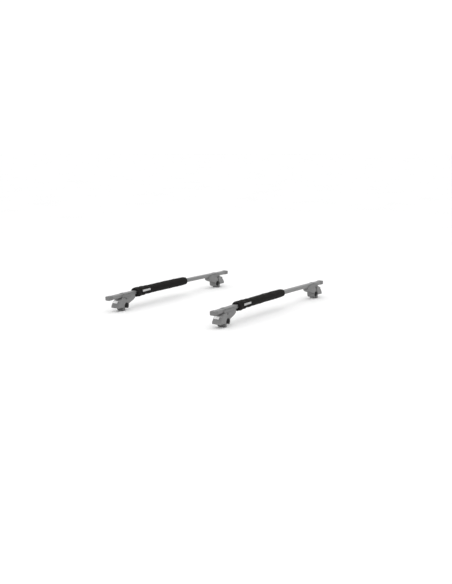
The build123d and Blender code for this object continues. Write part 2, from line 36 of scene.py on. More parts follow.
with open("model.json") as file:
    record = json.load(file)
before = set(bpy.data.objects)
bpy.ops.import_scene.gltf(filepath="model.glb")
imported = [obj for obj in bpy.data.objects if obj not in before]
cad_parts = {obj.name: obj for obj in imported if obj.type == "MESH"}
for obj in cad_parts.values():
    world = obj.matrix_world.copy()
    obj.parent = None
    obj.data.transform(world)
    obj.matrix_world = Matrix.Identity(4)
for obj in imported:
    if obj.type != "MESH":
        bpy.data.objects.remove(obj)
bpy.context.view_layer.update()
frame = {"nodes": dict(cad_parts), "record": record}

PLACES = ("front", "rear")

# ---- The bars, as the frame gives them ----
BAR_WIDTH = 0.032
BAR_HEIGHT = 0.022
BAR_CORNER = 0.004
ARCH_RADIUS = 33.605

# ---- Padded sleeves ----
PAD_WIDTH = 0.056
PAD_HEIGHT = 0.048
PAD_CORNER = 0.020
PAD_START_INSET = 0.0022      # the form is cut this much under size, because the simulation swells it
PAD_BORE_GAP = 0.0012
RIGHT_END_RADIUS = 0.0095
LEFT_END_RADIUS = {"front": 0.0095, "rear": 0.0035}
EXTRA_STUFFING = {"front": 0.0, "rear": 0.0019}
AROUND = 64                   # quads round a sleeve
ALONG = 168                   # quads along a sleeve
CORNER_STEPS = 24             # finer than the quads, to space them evenly
END_STEPS = 9
BORE_STEPS = 30
HELD_SHARE = 0.3              # below this share from bore to outside, the cloth can't move

# ---- Cloth that is loose at its right-hand end ----
RIGHT_FLARE = 0.0041
FLARE_LENGTH = 0.11
FLARE_HANG = math.radians(-50)
HANG_SHARE = 0.5              # how much more it stands out on the side where it hangs

# ---- Slanting folds: rates along in radians a metre, places and spreads from the right-hand end ----
FOLD_HEIGHT = 0.0014
NEAR_RATE = 118.0
NEAR_TWIST = 2.2
NEAR_PLACE = 0.07
NEAR_SPREAD = 0.085
FAR_SHARE = 0.35              # height of the far folds against the near ones
FAR_RATE = 74.0
FAR_TWIST = 1.6
FAR_PLACE = 0.36
FAR_SPREAD = 0.12
WAVER = 0.9                   # how far the near folds wander from straight
WAVER_RATE = 30
WAVER_TWIST = 1.7

# ---- Lumps in the stuffing ----
LUMP_HEIGHT = 0.0007
LUMP_RATE = 21
LUMP_ROUND = 3.1
SEED = 7

# ---- Cloth simulation ----
CLOTH_FRAMES = 18
CLOTH_GROWTH = 0.045          # the cloth is cut this much larger than its foam, so it wrinkles
CLOTH_PRESSURE = 2.0
MOST_MOVE = 0.0045            # how far the simulation may carry a point

# ---- Hems, closure, label and stitching ----
HEM_INSET = 0.011
GROOVE_DEPTH = 0.0009
GROOVE_WIDTH = 0.0016
BORE_MARGIN = 0.003
FLAP_INSET = HEM_INSET * 1.6
FLAP_ANGLES = (math.radians(-158), math.radians(-62))
FLAP_THICKNESS = 0.0013
FLAP_QUADS = (120, 14)
FLAP_SEAM_INSET = math.radians(5)
TAPE_ANGLE = math.radians(9)
TAPE_THICKNESS = FLAP_THICKNESS * 0.5
TAPE_QUADS = (120, 3)
LABEL_ANGLES = (math.radians(-3), math.radians(20))
LABEL_THICKNESS = 0.0008
LABEL_QUADS = (52, 10)
LABEL_BORDER = (0.002, math.radians(3))
PATCH_RIM = 0.35              # thickness of a patch at its rim, as a share
PATCH_SINK = 0.0006           # how far a patch's underside reaches into the sleeve
STITCH_LENGTH = 0.0026
STITCH_PITCH = 0.0038
STITCH_RADIUS = 0.00028
STITCH_SIDES = 6
STITCH_RINGS = ((-0.5, -0.9, 0.55), (-0.3, 0.3, 1.0), (0.0, 0.7, 1.08), (0.3, 0.3, 1.0), (0.5, -0.9, 0.55))
RING_STEPS = 90
LONG_STEPS = 150
BORDER_STEPS = 40
PROBE = 0.06                  # rays for the sleeve's surface start this far out

# ---- Colours ----
GREY_COAT = (0.178, 0.178, 0.178)
GREY_CAP = (0.155, 0.155, 0.155)
GREY_FOOT = (0.170, 0.170, 0.170)
GREY_COVER = (0.176, 0.176, 0.176)
GREY_JAW = (0.150, 0.150, 0.150)
GREY_FOAM = (0.05, 0.05, 0.052)
BLACK_CLOTH = (0.0090, 0.0082, 0.0078)
BLACK_THREAD = (0.016, 0.015, 0.014)
BLACK_TAPE = (0.016, 0.016, 0.017)
BLACK_RUBBER = (0.045, 0.045, 0.045)
DARK_STEEL = (0.17, 0.17, 0.17)
DARK_NICKEL = (0.30, 0.30, 0.30)
PALE_CLOTH = (0.42, 0.42, 0.42)
PALE_BADGE = (0.80, 0.80, 0.80)
PALE_FLOOR = (0.93, 0.93, 0.93)

# ---- Size of the surface detail ----
SLEEVE_THREAD = 0.00085
LABEL_THREAD = 0.0005
WEAVE_WIDTH = PAD_WIDTH * 0.9  # mean width of the sleeve, for the number of threads round it
GRAIN_CELL = 0.0009
PEEL_CELL = 0.0011

# ---- Floor and light ----
FLOOR_RINGS = (0.8, 3.0, 12.0, 60.0)
FLOOR_SIDES = 96
SKY_STRENGTH = 1.08
SOFTBOXES = (                 # name, place, size and power; each is aimed at the origin
    ("overhead", (0.0, 0.6, 3.4), (3.2, 2.4), 14),
    ("side", (3.2, -1.6, 1.9), (1.6, 1.6), 7),
)

# ---- Camera ----
CAMERA_PLACE = Vector((4.356, 3.043, 1.0438))
CAMERA_AZIMUTH = math.radians(55.48)
CAMERA_PITCH = math.radians(10.28)
LENS = 51.8


# ---------------------------------------------------------------- small helpers

def link(item):
    """Put a new object in the scene."""
    bpy.context.scene.collection.objects.link(item)
    return item


def mesh_object(name, vertices, faces, material):
    """A smooth mesh object from lists of points and faces, with its normals facing out."""
    mesh = bpy.data.meshes.new(name)
    mesh.from_pydata([tuple(point) for point in vertices], [], faces)
    mesh.validate()
    work = bmesh.new()
    work.from_mesh(mesh)
    bmesh.ops.recalc_face_normals(work, faces=work.faces)
    work.to_mesh(mesh)
    work.free()
    for face in mesh.polygons:
        face.use_smooth = True
    mesh.materials.append(material)
    return link(bpy.data.objects.new(name, mesh))


# ---------------------------------------------------------------- materials

class Graph:
    """A new node material, with short ways to add nodes and to join them."""

    def __init__(self, name, roughness, metallic=0.0, specular=0.5):
        self.material = bpy.data.materials.new(name)
        self.material.use_nodes = True
        self.tree = self.material.node_tree
        self.shader = self.tree.nodes["Principled BSDF"]
        self.shader.inputs["Roughness"].default_value = roughness
        self.shader.inputs["Metallic"].default_value = metallic
        self.shader.inputs["Specular IOR Level"].default_value = specular
        self.place = self.add("ShaderNodeTexCoord").outputs["Object"]

    def add(self, kind, **settings):
        """Add a node. Settings that name an input set or join it, and the others are its properties."""
        node = self.tree.nodes.new(kind)
        for key, value in settings.items():
            if hasattr(node, key):
                setattr(node, key, value)
        for key, value in settings.items():
            if not hasattr(node, key):
                self.feed(node, key, value)
        return node

    def feed(self, node, key, value):
        """Set an input by name, or by number as in i0, or join an output to it."""
        numbered = key[0] == "i" and key[1:].isdigit()
        socket = node.inputs[int(key[1:])] if numbered else node.inputs[key]
        if isinstance(value, bpy.types.NodeSocket):
            self.tree.links.new(value, socket)
        else:
            socket.default_value = value

    def sum(self, operation, first, second=0.0):
        """A Math node's result."""
        return self.add("ShaderNodeMath", operation=operation, i0=first, i1=second).outputs[0]

    def grain(self, scale, detail=3.0, roughness=0.55, stretch=(1, 1, 1), seed=0.0):
        """Noise over the object, from 0 to 1. Scale is in cells per metre."""
        offset = (seed, seed, seed)
        spread = self.add("ShaderNodeMapping", Vector=self.place, Scale=stretch, Location=offset)
        return self.add("ShaderNodeTexNoise", Vector=spread.outputs[0], Scale=scale, Detail=detail,
                        Roughness=roughness).outputs["Fac"]

    def between(self, value, low, high, out_low=0.0, out_high=1.0):
        """Map a range of value to a range of results, clamped."""
        return self.add("ShaderNodeMapRange", i0=value, i1=low, i2=high, i3=out_low, i4=out_high).outputs[0]

    def colour_from(self, value, stops):
        """Colour the surface by value, with stops of (value, colour)."""
        ramp = self.add("ShaderNodeValToRGB", Fac=value)
        ramp.color_ramp.elements[0].position = stops[0][0]
        ramp.color_ramp.elements[0].color = (*stops[0][1], 1)
        ramp.color_ramp.elements[1].position = stops[-1][0]
        ramp.color_ramp.elements[1].color = (*stops[-1][1], 1)
        for position, colour in stops[1:-1]:
            ramp.color_ramp.elements.new(position).color = (*colour, 1)
        self.tree.links.new(ramp.outputs[0], self.shader.inputs["Base Color"])

    def roughness_from(self, value, low, high):
        """Vary roughness with a value from 0 to 1."""
        self.tree.links.new(self.between(value, 0.3, 0.7, low, high), self.shader.inputs["Roughness"])

    def bump_from(self, height, distance, strength=1.0, under=None):
        """Raise the surface by a height, over an earlier bump if there is one."""
        bump = self.add("ShaderNodeBump", Height=height, Distance=distance, Strength=strength)
        if under is not None:
            self.tree.links.new(under, bump.inputs["Normal"])
        self.tree.links.new(bump.outputs[0], self.shader.inputs["Normal"])
        return bump.outputs[0]


def shade(colour, factor):
    """A colour made lighter or darker."""
    return tuple(min(1.0, part * factor) for part in colour)


def moulded(name, colour, roughness=0.55):
    """Grained moulded plastic: leathery spark grain, faint flow marks and lighter and darker patches at
    random.
    """
    graph = Graph(name, roughness, specular=0.42)
    cells = graph.add("ShaderNodeTexVoronoi", Vector=graph.place, Scale=1 / GRAIN_CELL,
                      feature="SMOOTH_F1").outputs["Distance"]
    fine = graph.grain(2600.0, 2.0)
    broad = graph.grain(14.0, 4.0, seed=3.0)
    flow = graph.grain(60.0, 3.0, stretch=(0.25, 1, 1), seed=8.0)
    mix = graph.sum("ADD", graph.sum("MULTIPLY", broad, 0.7), graph.sum("MULTIPLY", flow, 0.3))
    graph.colour_from(mix, [(0.36, shade(colour, 0.9)), (0.5, colour), (0.66, shade(colour, 1.12))])
    graph.roughness_from(flow, roughness - 0.06, roughness + 0.07)
    coarse = graph.bump_from(cells, 0.00010, 0.55)
    graph.bump_from(fine, 0.00003, 0.5, under=coarse)
    return graph.material


def coated(name, colour):
    """Powder-coated metal: orange peel, a fine speckle of lighter and darker grains painted into the colour
    as painted glints for its sparkle, and thin scuffs along the bar.
    """
    graph = Graph(name, 0.46, specular=0.5)
    skin = graph.grain(1 / PEEL_CELL, 2.0, 0.5)
    # Fine speckle, lighter and darker, painted into the colour: painted glints that stand in for the coat's
    # sparkle.
    glint_speck = graph.grain(5200.0, 1.0, seed=2.0)
    cloud = graph.grain(9.0, 4.0, seed=5.0)
    scuff = graph.grain(900.0, 2.0, 0.7, stretch=(0.012, 1, 1), seed=6.0)
    marks = graph.between(scuff, 0.66, 0.74)
    # The tone takes in the painted glint speckle as well as the random cloud.
    tone = graph.sum("ADD", graph.sum("MULTIPLY", cloud, 0.55), graph.sum("MULTIPLY", glint_speck, 0.45))
    toned = graph.sum("ADD", tone, graph.sum("MULTIPLY", marks, 0.05))
    graph.colour_from(toned, [(0.36, shade(colour, 0.9)), (0.5, colour), (0.66, shade(colour, 1.14))])
    graph.roughness_from(cloud, 0.41, 0.55)
    graph.bump_from(skin, 0.00006, 0.6)
    graph.shader.inputs["Coat Weight"].default_value = 0.06
    graph.shader.inputs["Coat Roughness"].default_value = 0.3
    return graph.material


def cast_metal(name, colour):
    """Dark coated casting, slightly pitted, with bare metal showing in places."""
    graph = Graph(name, 0.45, metallic=0.35)
    pits = graph.add("ShaderNodeTexVoronoi", Vector=graph.place, Scale=900.0,
                     feature="SMOOTH_F1").outputs["Distance"]
    cloud = graph.grain(35.0, 5.0)
    worn = graph.grain(120.0, 5.0, 0.7, seed=4.0)
    graph.colour_from(worn, [(0.3, shade(colour, 0.8)), (0.62, colour), (0.76, shade(colour, 2.2))])
    graph.roughness_from(cloud, 0.38, 0.6)
    graph.bump_from(pits, 0.00012, 0.5)
    return graph.material


def rubbery(name, colour):
    """Dull moulded rubber with a fine bloom and a ribbed face."""
    graph = Graph(name, 0.78, specular=0.3)
    bloom = graph.grain(90.0, 5.0)
    fine = graph.grain(3000.0, 2.0)
    ribs = graph.add("ShaderNodeTexWave", Vector=graph.place, Scale=110.0, Distortion=0.0,
                     bands_direction="Y").outputs["Fac"]
    graph.colour_from(bloom, [(0.35, shade(colour, 0.8)), (0.5, colour), (0.7, shade(colour, 1.7))])
    graph.roughness_from(bloom, 0.7, 0.88)
    ribbed = graph.bump_from(ribs, 0.0003, 0.5)
    graph.bump_from(fine, 0.00004, 0.5, under=ribbed)
    return graph.material


def plated(name, colour, roughness):
    """Plated steel with drawn lines along it, faint blotches and handling marks."""
    graph = Graph(name, roughness, metallic=1.0)
    lines = graph.grain(2400.0, 2.0, 0.6, stretch=(0.03, 1, 1))
    blotch = graph.grain(160.0, 4.0, seed=2.0)
    graph.colour_from(blotch, [(0.34, shade(colour, 0.84)), (0.5, colour), (0.7, shade(colour, 1.1))])
    graph.roughness_from(blotch, roughness - 0.06, roughness + 0.14)
    graph.bump_from(lines, 0.00003, 0.35)
    return graph.material


def pale_plate(name, colour):
    """Blank badge: pale satin film, faintly brushed, with soft handling marks."""
    graph = Graph(name, 0.34, specular=0.5)
    brushed = graph.grain(1800.0, 2.0, stretch=(1, 0.05, 1))
    cloud = graph.grain(70.0, 3.0, seed=5.0)
    graph.colour_from(cloud, [(0.35, shade(colour, 0.93)), (0.5, colour), (0.68, shade(colour, 1.05))])
    graph.roughness_from(cloud, 0.28, 0.42)
    graph.bump_from(brushed, 0.00002, 0.4)
    return graph.material


def woven(name, colour, thread, round_bar=None):
    """Plain-weave cloth. Threads run along X, and round the bar where its centre (y, z) is given."""
    graph = Graph(name, 0.86, specular=0.12)
    split = graph.add("ShaderNodeSeparateXYZ", Vector=graph.place)
    along = graph.sum("MULTIPLY", split.outputs["X"], math.tau / thread / 2)
    if round_bar:
        rise = graph.sum("SUBTRACT", split.outputs["Z"], round_bar[1])
        reach = graph.sum("SUBTRACT", split.outputs["Y"], round_bar[0])
        turn = graph.sum("ARCTAN2", rise, reach)
        threads_round = round(WEAVE_WIDTH * math.pi / thread / 2)
        across = graph.sum("MULTIPLY", turn, float(threads_round))
    else:
        across = graph.sum("MULTIPLY", split.outputs["Y"], math.tau / thread / 2)
    warp = graph.sum("ABSOLUTE", graph.sum("SINE", along))
    weft = graph.sum("ABSOLUTE", graph.sum("SINE", across))
    crossing = graph.sum("MULTIPLY", graph.sum("SINE", along), graph.sum("SINE", across))
    over = graph.between(crossing, -0.3, 0.3)
    threads = graph.sum("ADD", graph.sum("MULTIPLY", over, warp),
                        graph.sum("MULTIPLY", graph.sum("SUBTRACT", 1.0, over), weft))
    slub = graph.grain(420.0, 3.0, stretch=(0.2, 1, 1), seed=3.0)
    fade = graph.grain(22.0, 4.0, seed=9.0)
    tone = graph.sum("ADD", graph.sum("MULTIPLY", threads, 0.4),
                     graph.sum("ADD", graph.sum("MULTIPLY", slub, 0.3), graph.sum("MULTIPLY", fade, 0.3)))
    graph.colour_from(tone, [(0.28, shade(colour, 0.62)), (0.52, colour), (0.8, shade(colour, 1.5))])
    graph.roughness_from(fade, 0.81, 0.94)
    woven_bump = graph.bump_from(threads, 0.00018, 0.6)
    graph.bump_from(slub, 0.0001, 0.4, under=woven_bump)
    graph.shader.inputs["Sheen Weight"].default_value = 0.02
    graph.shader.inputs["Sheen Roughness"].default_value = 0.45
    graph.shader.inputs["Sheen Tint"].default_value = (1, 0.98, 0.96, 1)
    return graph.material


def fuzzy(name, colour):
    """Hook-and-loop tape: matted loops with a nap."""
    graph = Graph(name, 0.9, specular=0.2)
    loops = graph.add("ShaderNodeTexVoronoi", Vector=graph.place, Scale=1500.0).outputs["Distance"]
    mat = graph.grain(300.0, 5.0, 0.7)
    graph.colour_from(mat, [(0.3, shade(colour, 0.6)), (0.5, colour), (0.75, shade(colour, 1.9))])
    graph.roughness_from(mat, 0.82, 0.97)
    graph.bump_from(loops, 0.0004, 0.8)
    graph.shader.inputs["Sheen Weight"].default_value = 0.35
    return graph.material


def foam(name, colour):
    """Closed-cell foam."""
    graph = Graph(name, 0.9, specular=0.2)
    cells = graph.add("ShaderNodeTexVoronoi", Vector=graph.place, Scale=1300.0).outputs["Distance"]
    cloud = graph.grain(80.0, 4.0)
    graph.colour_from(cloud, [(0.3, shade(colour, 0.7)), (0.5, colour), (0.7, shade(colour, 1.3))])
    graph.bump_from(cells, 0.0003, 0.6)
    return graph.material


def twisted_thread(name, colour):
    """Sewing thread, with its ply showing as fine bands."""
    graph = Graph(name, 0.7, specular=0.3)
    ply = graph.add("ShaderNodeTexWave", Vector=graph.place, Scale=900.0, Distortion=1.5,
                    bands_direction="DIAGONAL").outputs["Fac"]
    graph.colour_from(ply, [(0.2, shade(colour, 0.7)), (0.5, colour), (0.8, shade(colour, 1.25))])
    graph.bump_from(ply, 0.0001, 0.6)
    return graph.material


def studio_floor(name, colour):
    """Pale seamless floor with the faintest mottling."""
    graph = Graph(name, 0.85, specular=0.2)
    cloud = graph.grain(1.4, 3.0)
    graph.colour_from(cloud, [(0.3, shade(colour, 0.985)), (0.7, shade(colour, 1.01))])
    return graph.material


# ---------------------------------------------------------------- the line of each bar

class Run:
    """One bar and its pad, as the frame gives them."""

    def __init__(self, place):
        self.place = place
        tube_low, tube_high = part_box(f"{place}_bar_tube")
        pad_low, pad_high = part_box(f"{place}_pad_sleeve")
        self.bar_y = (tube_low.y + tube_high.y) / 2
        self.crown = tube_high.z - BAR_HEIGHT / 2
        self.left = pad_low.x
        self.right = pad_high.x
        self.body = f"{place}_bar"

    def centre(self, x):
        """The bar's centre at x."""
        return Vector((x, self.bar_y, self.crown - x * x / (2 * ARCH_RADIUS)))

    def up(self, x):
        """The bar's own up direction at x."""
        return Vector((x / ARCH_RADIUS, 0, 1)).normalized()

    def at(self, x, across, height):
        """A point beside the bar: across towards the front, height square to the bar."""
        return self.centre(x) + Vector((0, across, 0)) + self.up(x) * height

    def outward(self, x, angle):
        """Direction away from the bar, with its angle counted up from the front."""
        return Vector((0, math.cos(angle), 0)) + self.up(x) * math.sin(angle)


def rounded_rectangle(width, height, corner, count):
    """Evenly spaced points round a rounded rectangle, from the middle of its underside to the front."""
    flat_y = width / 2 - corner
    flat_z = height / 2 - corner
    dense = [Vector((0, -height / 2))]
    for centre_y, centre_z, start in ((flat_y, -flat_z, -90), (flat_y, flat_z, 0),
                                      (-flat_y, flat_z, 90), (-flat_y, -flat_z, 180)):
        for step in range(CORNER_STEPS + 1):
            angle = math.radians(start + 90 * step / CORNER_STEPS)
            dense.append(Vector((centre_y + corner * math.cos(angle), centre_z + corner * math.sin(angle))))
    dense.append(dense[0])
    gaps = [(second - first).length for first, second in zip(dense, dense[1:])]
    spacing = sum(gaps) / count
    points = []
    travelled = 0.0
    for first, second, gap in zip(dense, dense[1:], gaps):
        while len(points) < count and len(points) * spacing <= travelled + gap:
            share = (len(points) * spacing - travelled) / gap if gap else 0.0
            points.append(first.lerp(second, share))
        travelled += gap
    return points


# ---------------------------------------------------------------- padded sleeves

def rounded_end(radius):
    """Stations over a sleeve's rounded end edge, as (reach along the bar, share from bore to outside)."""
    wall = (PAD_HEIGHT - BAR_HEIGHT) / 2 - PAD_BORE_GAP
    turn = []
    for step in range(1, END_STEPS + 1):
        angle = math.pi / 2 * step / END_STEPS
        turn.append((radius * math.sin(angle), 1 - radius / wall * (1 - math.cos(angle))))
    return turn


def sleeve_profile(run):
    """Stations round the sleeve's wall, as (x, share from bore to outside): outside, end, bore, end."""
    left_radius = LEFT_END_RADIUS[run.place]
    flat_left = run.left + left_radius
    flat_right = run.right - RIGHT_END_RADIUS
    outside = [(flat_left + (flat_right - flat_left) * step / ALONG, 1.0) for step in range(ALONG + 1)]
    right_end = [(flat_right + reach, share) for reach, share in rounded_end(RIGHT_END_RADIUS)]
    left_end = [(flat_left - reach, share) for reach, share in reversed(rounded_end(left_radius))]
    bore = [(run.right + (run.left - run.right) * step / BORE_STEPS, 0.0) for step in range(1, BORE_STEPS)]
    return outside + right_end + bore + left_end


def drag_lines(run, x, turn):
    """Slanting folds, deepest near the sleeve's right-hand end, as a height."""
    from_end = run.right - x
    waver = WAVER * math.sin(turn * WAVER_TWIST + from_end * WAVER_RATE)
    near = math.sin(from_end * NEAR_RATE + turn * NEAR_TWIST + waver)
    near_fade = math.exp(-((from_end - NEAR_PLACE) / NEAR_SPREAD) ** 2)
    far = math.sin(from_end * FAR_RATE - turn * FAR_TWIST)
    far_fade = FAR_SHARE * math.exp(-((from_end - FAR_PLACE) / FAR_SPREAD) ** 2)
    return FOLD_HEIGHT * (near * near_fade + far * far_fade)


def loose_end(run, x, turn):
    """How far the cloth stands out towards the right-hand end, hanging lower at the front."""
    fade = math.exp(-((run.right - x) / FLARE_LENGTH) ** 2)
    return RIGHT_FLARE * fade * (1 + HANG_SHARE * math.cos(turn - FLARE_HANG))


def lumps(x, turn):
    """Uneven stuffing, as a height."""
    place = Vector((x * LUMP_RATE, LUMP_ROUND * math.cos(turn), LUMP_ROUND * math.sin(turn) + SEED))
    return LUMP_HEIGHT * noise.noise(place)


def sleeve_form(run, material):
    """The sleeve before it is blown up: a closed ring-shaped form, open along the bar."""
    outer = rounded_rectangle(PAD_WIDTH - 2 * PAD_START_INSET, PAD_HEIGHT - 2 * PAD_START_INSET,
                              PAD_CORNER - PAD_START_INSET, AROUND)
    inner = rounded_rectangle(BAR_WIDTH + 2 * PAD_BORE_GAP, BAR_HEIGHT + 2 * PAD_BORE_GAP,
                              BAR_CORNER + PAD_BORE_GAP, AROUND)
    stations = sleeve_profile(run)
    vertices = []
    held = []
    for x, share in stations:
        for near, far in zip(inner, outer):
            spot = near.lerp(far, share)
            turn = math.atan2(spot.y, spot.x)
            stuffed = EXTRA_STUFFING[run.place] + loose_end(run, x, turn)
            swell = share * share * (stuffed + lumps(x, turn) + drag_lines(run, x, turn))
            spot = spot * (1 + swell / spot.length)
            if share < HELD_SHARE:
                held.append(len(vertices))
            vertices.append(run.at(x, spot.x, spot.y))
    faces = []
    for station in range(len(stations)):
        following = (station + 1) % len(stations)
        for step in range(AROUND):
            beside = (step + 1) % AROUND
            faces.append((station * AROUND + step, station * AROUND + beside,
                          following * AROUND + beside, following * AROUND + step))
    sleeve = mesh_object(f"{run.place}_padded_sleeve", vertices, faces, material)
    pins = sleeve.vertex_groups.new(name="held")
    pins.add(held, 1.0, "REPLACE")
    return sleeve


def blow_up(sleeve):
    """Cloth simulation: the cut-large cloth is pressed out by its foam and wrinkles; the bore is held."""
    cloth = sleeve.modifiers.new("Cloth", "CLOTH")
    settings = cloth.settings
    settings.quality = 6
    settings.mass = 0.25
    settings.tension_stiffness = 18
    settings.compression_stiffness = 18
    settings.shear_stiffness = 6
    settings.bending_stiffness = 0.35
    settings.air_damping = 2.0
    settings.use_pressure = True
    settings.uniform_pressure_force = CLOTH_PRESSURE
    settings.shrink_min = -CLOTH_GROWTH
    settings.vertex_group_mass = "held"
    settings.effector_weights.gravity = 0.0
    rest = [vertex.co.copy() for vertex in sleeve.data.vertices]
    scene = bpy.context.scene
    for step in range(1, CLOTH_FRAMES + 1):
        scene.frame_set(step)
    blown = sleeve.evaluated_get(bpy.context.evaluated_depsgraph_get()).data
    moved = [vertex.co.copy() for vertex in blown.vertices]
    sleeve.modifiers.remove(cloth)
    scene.frame_set(1)
    for vertex, start, end in zip(sleeve.data.vertices, rest, moved):
        shift = end - start
        if shift.length > MOST_MOVE:
            shift = shift.normalized() * MOST_MOVE
        vertex.co = start + shift


def subdivide(piece):
    """Apply one level of subdivision."""
    smoother = piece.modifiers.new("Subdivision", "SUBSURF")
    smoother.levels = 1
    shaped = bpy.data.meshes.new_from_object(piece.evaluated_get(bpy.context.evaluated_depsgraph_get()))
    piece.modifiers.clear()
    piece.data = shaped
    for face in piece.data.polygons:
        face.use_smooth = True


# ---------------------------------------------------------------- trim that follows a sleeve's surface

def surface_tree(sleeve):
    """A search tree over a finished sleeve's surface."""
    mesh = sleeve.data
    return BVHTree.FromPolygons([vertex.co for vertex in mesh.vertices],
                                [tuple(face.vertices) for face in mesh.polygons])


def on_surface(tree, run, x, angle):
    """The sleeve's outer surface at x and an angle round the bar: a point and its normal."""
    way = run.outward(x, angle)
    spot, normal, _, _ = tree.ray_cast(run.centre(x) + way * PROBE, -way)
    if normal.dot(way) < 0:
        normal = -normal
    return spot, normal


def groove(sleeve, run):
    """Draw the cloth in along its hem stitching."""
    hems = (run.left + HEM_INSET, run.right - HEM_INSET)
    for vertex in sleeve.data.vertices:
        away = vertex.co - run.centre(vertex.co.x)
        if away.length < BAR_WIDTH / 2 + BORE_MARGIN:
            continue
        nearest = min(abs(vertex.co.x - hem) for hem in hems)
        depth = GROOVE_DEPTH * math.exp(-(nearest / GROOVE_WIDTH) ** 2)
        vertex.co -= away.normalized() * depth


def patch(name, tree, run, x_range, angles, counts, thickness, material):
    """A thin closed piece that lies on the sleeve over a range of x and angle."""
    columns, rows = counts
    top = []
    bottom = []
    for column in range(columns + 1):
        x = x_range[0] + (x_range[1] - x_range[0]) * column / columns
        for row in range(rows + 1):
            angle = angles[0] + (angles[1] - angles[0]) * row / rows
            spot, normal = on_surface(tree, run, x, angle)
            margin = min(column, columns - column, row, rows - row)
            rise = PATCH_RIM if margin == 0 else 1.0
            top.append(spot + normal * (thickness * rise))
            bottom.append(spot - normal * PATCH_SINK)
    stride = rows + 1
    under = len(top)
    faces = []
    for column in range(columns):
        for row in range(rows):
            corner = column * stride + row
            quad = (corner, corner + 1, corner + stride + 1, corner + stride)
            faces.append(quad)
            faces.append(tuple(under + index for index in reversed(quad)))
    rim = [column * stride for column in range(columns)]
    rim += [columns * stride + row for row in range(rows)]
    rim += [column * stride + rows for column in range(columns, 0, -1)]
    rim += [row for row in range(rows, 0, -1)]
    for first, second in zip(rim, rim[1:] + rim[:1]):
        faces.append((first, second, under + second, under + first))
    return mesh_object(name, top + bottom, faces, material)


def stitched_line(name, line, material):
    """A row of separate stitches along a list of (point, normal), spaced by their pitch."""
    vertices = []
    faces = []
    travelled = 0.0
    due = STITCH_PITCH / 2
    for (first, normal), (second, _) in zip(line, line[1:]):
        span = (second - first).length
        while due <= travelled + span:
            middle = first.lerp(second, (due - travelled) / span) + normal * STITCH_RADIUS * 0.4
            add_stitch(vertices, faces, middle, (second - first).normalized(), normal)
            due += STITCH_PITCH
        travelled += span
    return mesh_object(name, vertices, faces, material)


def add_stitch(vertices, faces, middle, along, normal):
    """One stitch: a short thread that arches out of the cloth."""
    beside = along.cross(normal).normalized()
    start = len(vertices)
    for place, height, girth in STITCH_RINGS:
        ring_centre = middle + along * place * STITCH_LENGTH + normal * height * STITCH_RADIUS
        for side in range(STITCH_SIDES):
            angle = math.tau * side / STITCH_SIDES
            reach = beside * math.cos(angle) + normal * math.sin(angle)
            vertices.append(ring_centre + reach * STITCH_RADIUS * girth)
    last = start + STITCH_SIDES * (len(STITCH_RINGS) - 1)
    for ring in range(start, last, STITCH_SIDES):
        for side in range(STITCH_SIDES):
            following = (side + 1) % STITCH_SIDES
            faces.append((ring + side, ring + following,
                          ring + STITCH_SIDES + following, ring + STITCH_SIDES + side))
    faces.append(tuple(start + side for side in reversed(range(STITCH_SIDES))))
    faces.append(tuple(last + side for side in range(STITCH_SIDES)))


def ring_line(tree, run, x):
    """Points and normals round a sleeve at x."""
    return [on_surface(tree, run, x, math.tau * step / RING_STEPS) for step in range(RING_STEPS + 1)]


def long_line(tree, run, x_range, angle):
    """Points and normals along a sleeve at one angle."""
    return [on_surface(tree, run, x_range[0] + (x_range[1] - x_range[0]) * step / LONG_STEPS, angle)
            for step in range(LONG_STEPS + 1)]


def frame_line(tree, run, x_range, angles):
    """Points and normals round the border of a patch."""
    corners = ((x_range[0], angles[0]), (x_range[1], angles[0]), (x_range[1], angles[1]),
               (x_range[0], angles[1]), (x_range[0], angles[0]))
    line = []
    for (x_start, angle_start), (x_end, angle_end) in zip(corners, corners[1:]):
        for step in range(BORDER_STEPS):
            share = step / BORDER_STEPS
            line.append(on_surface(tree, run, x_start + (x_end - x_start) * share,
                                   angle_start + (angle_end - angle_start) * share))
    return line


def lifted(line, height):
    """A line of (point, normal) moved out along its normals."""
    return [(spot + normal * height, normal) for spot, normal in line]


# ---------------------------------------------------------------- making the pads

slots = {
    "bar_coating": coated("bar coating", GREY_COAT),
    "end_cap_plastic": moulded("end cap plastic", GREY_CAP),
    "foot_plastic": moulded("foot plastic", GREY_FOOT),
    "cover_plastic": moulded("cover plastic", GREY_COVER, roughness=0.5),
    "rubber": rubbery("rubber", BLACK_RUBBER),
    "screw_steel": plated("screw steel", DARK_STEEL, roughness=0.42),
    "jaw_metal": cast_metal("jaw metal", GREY_JAW),
    "lock_metal": plated("lock metal", DARK_NICKEL, roughness=0.3),
    "badge_plastic": pale_plate("badge", PALE_BADGE),
    "pad_foam": foam("pad foam", GREY_FOAM),
    "pad_fabric": woven("sleeve cloth", BLACK_CLOTH, SLEEVE_THREAD),
    "hook_and_loop": fuzzy("hook and loop", BLACK_TAPE),
    "label_fabric": woven("label cloth", PALE_CLOTH, LABEL_THREAD),
}

for entry in frame["record"]["subparts"]:
    for holder in frame["nodes"][entry["node"]].material_slots:
        holder.material = slots[entry["material_slot"]]

black_thread = twisted_thread("black thread", BLACK_THREAD)
pale_thread = twisted_thread("pale thread", PALE_CLOTH)


def dress(piece, run):
    """Let a piece ride on its bar."""
    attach(piece, run.body)


def make_sleeve(run, cloth):
    """The padded sleeve itself, blown up and then drawn in at its hems."""
    sleeve = sleeve_form(run, cloth)
    blow_up(sleeve)
    subdivide(sleeve)
    groove(sleeve, run)
    dress(sleeve, run)
    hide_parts(f"{run.place}_pad_sleeve", f"{run.place}_pad_foam")
    return sleeve


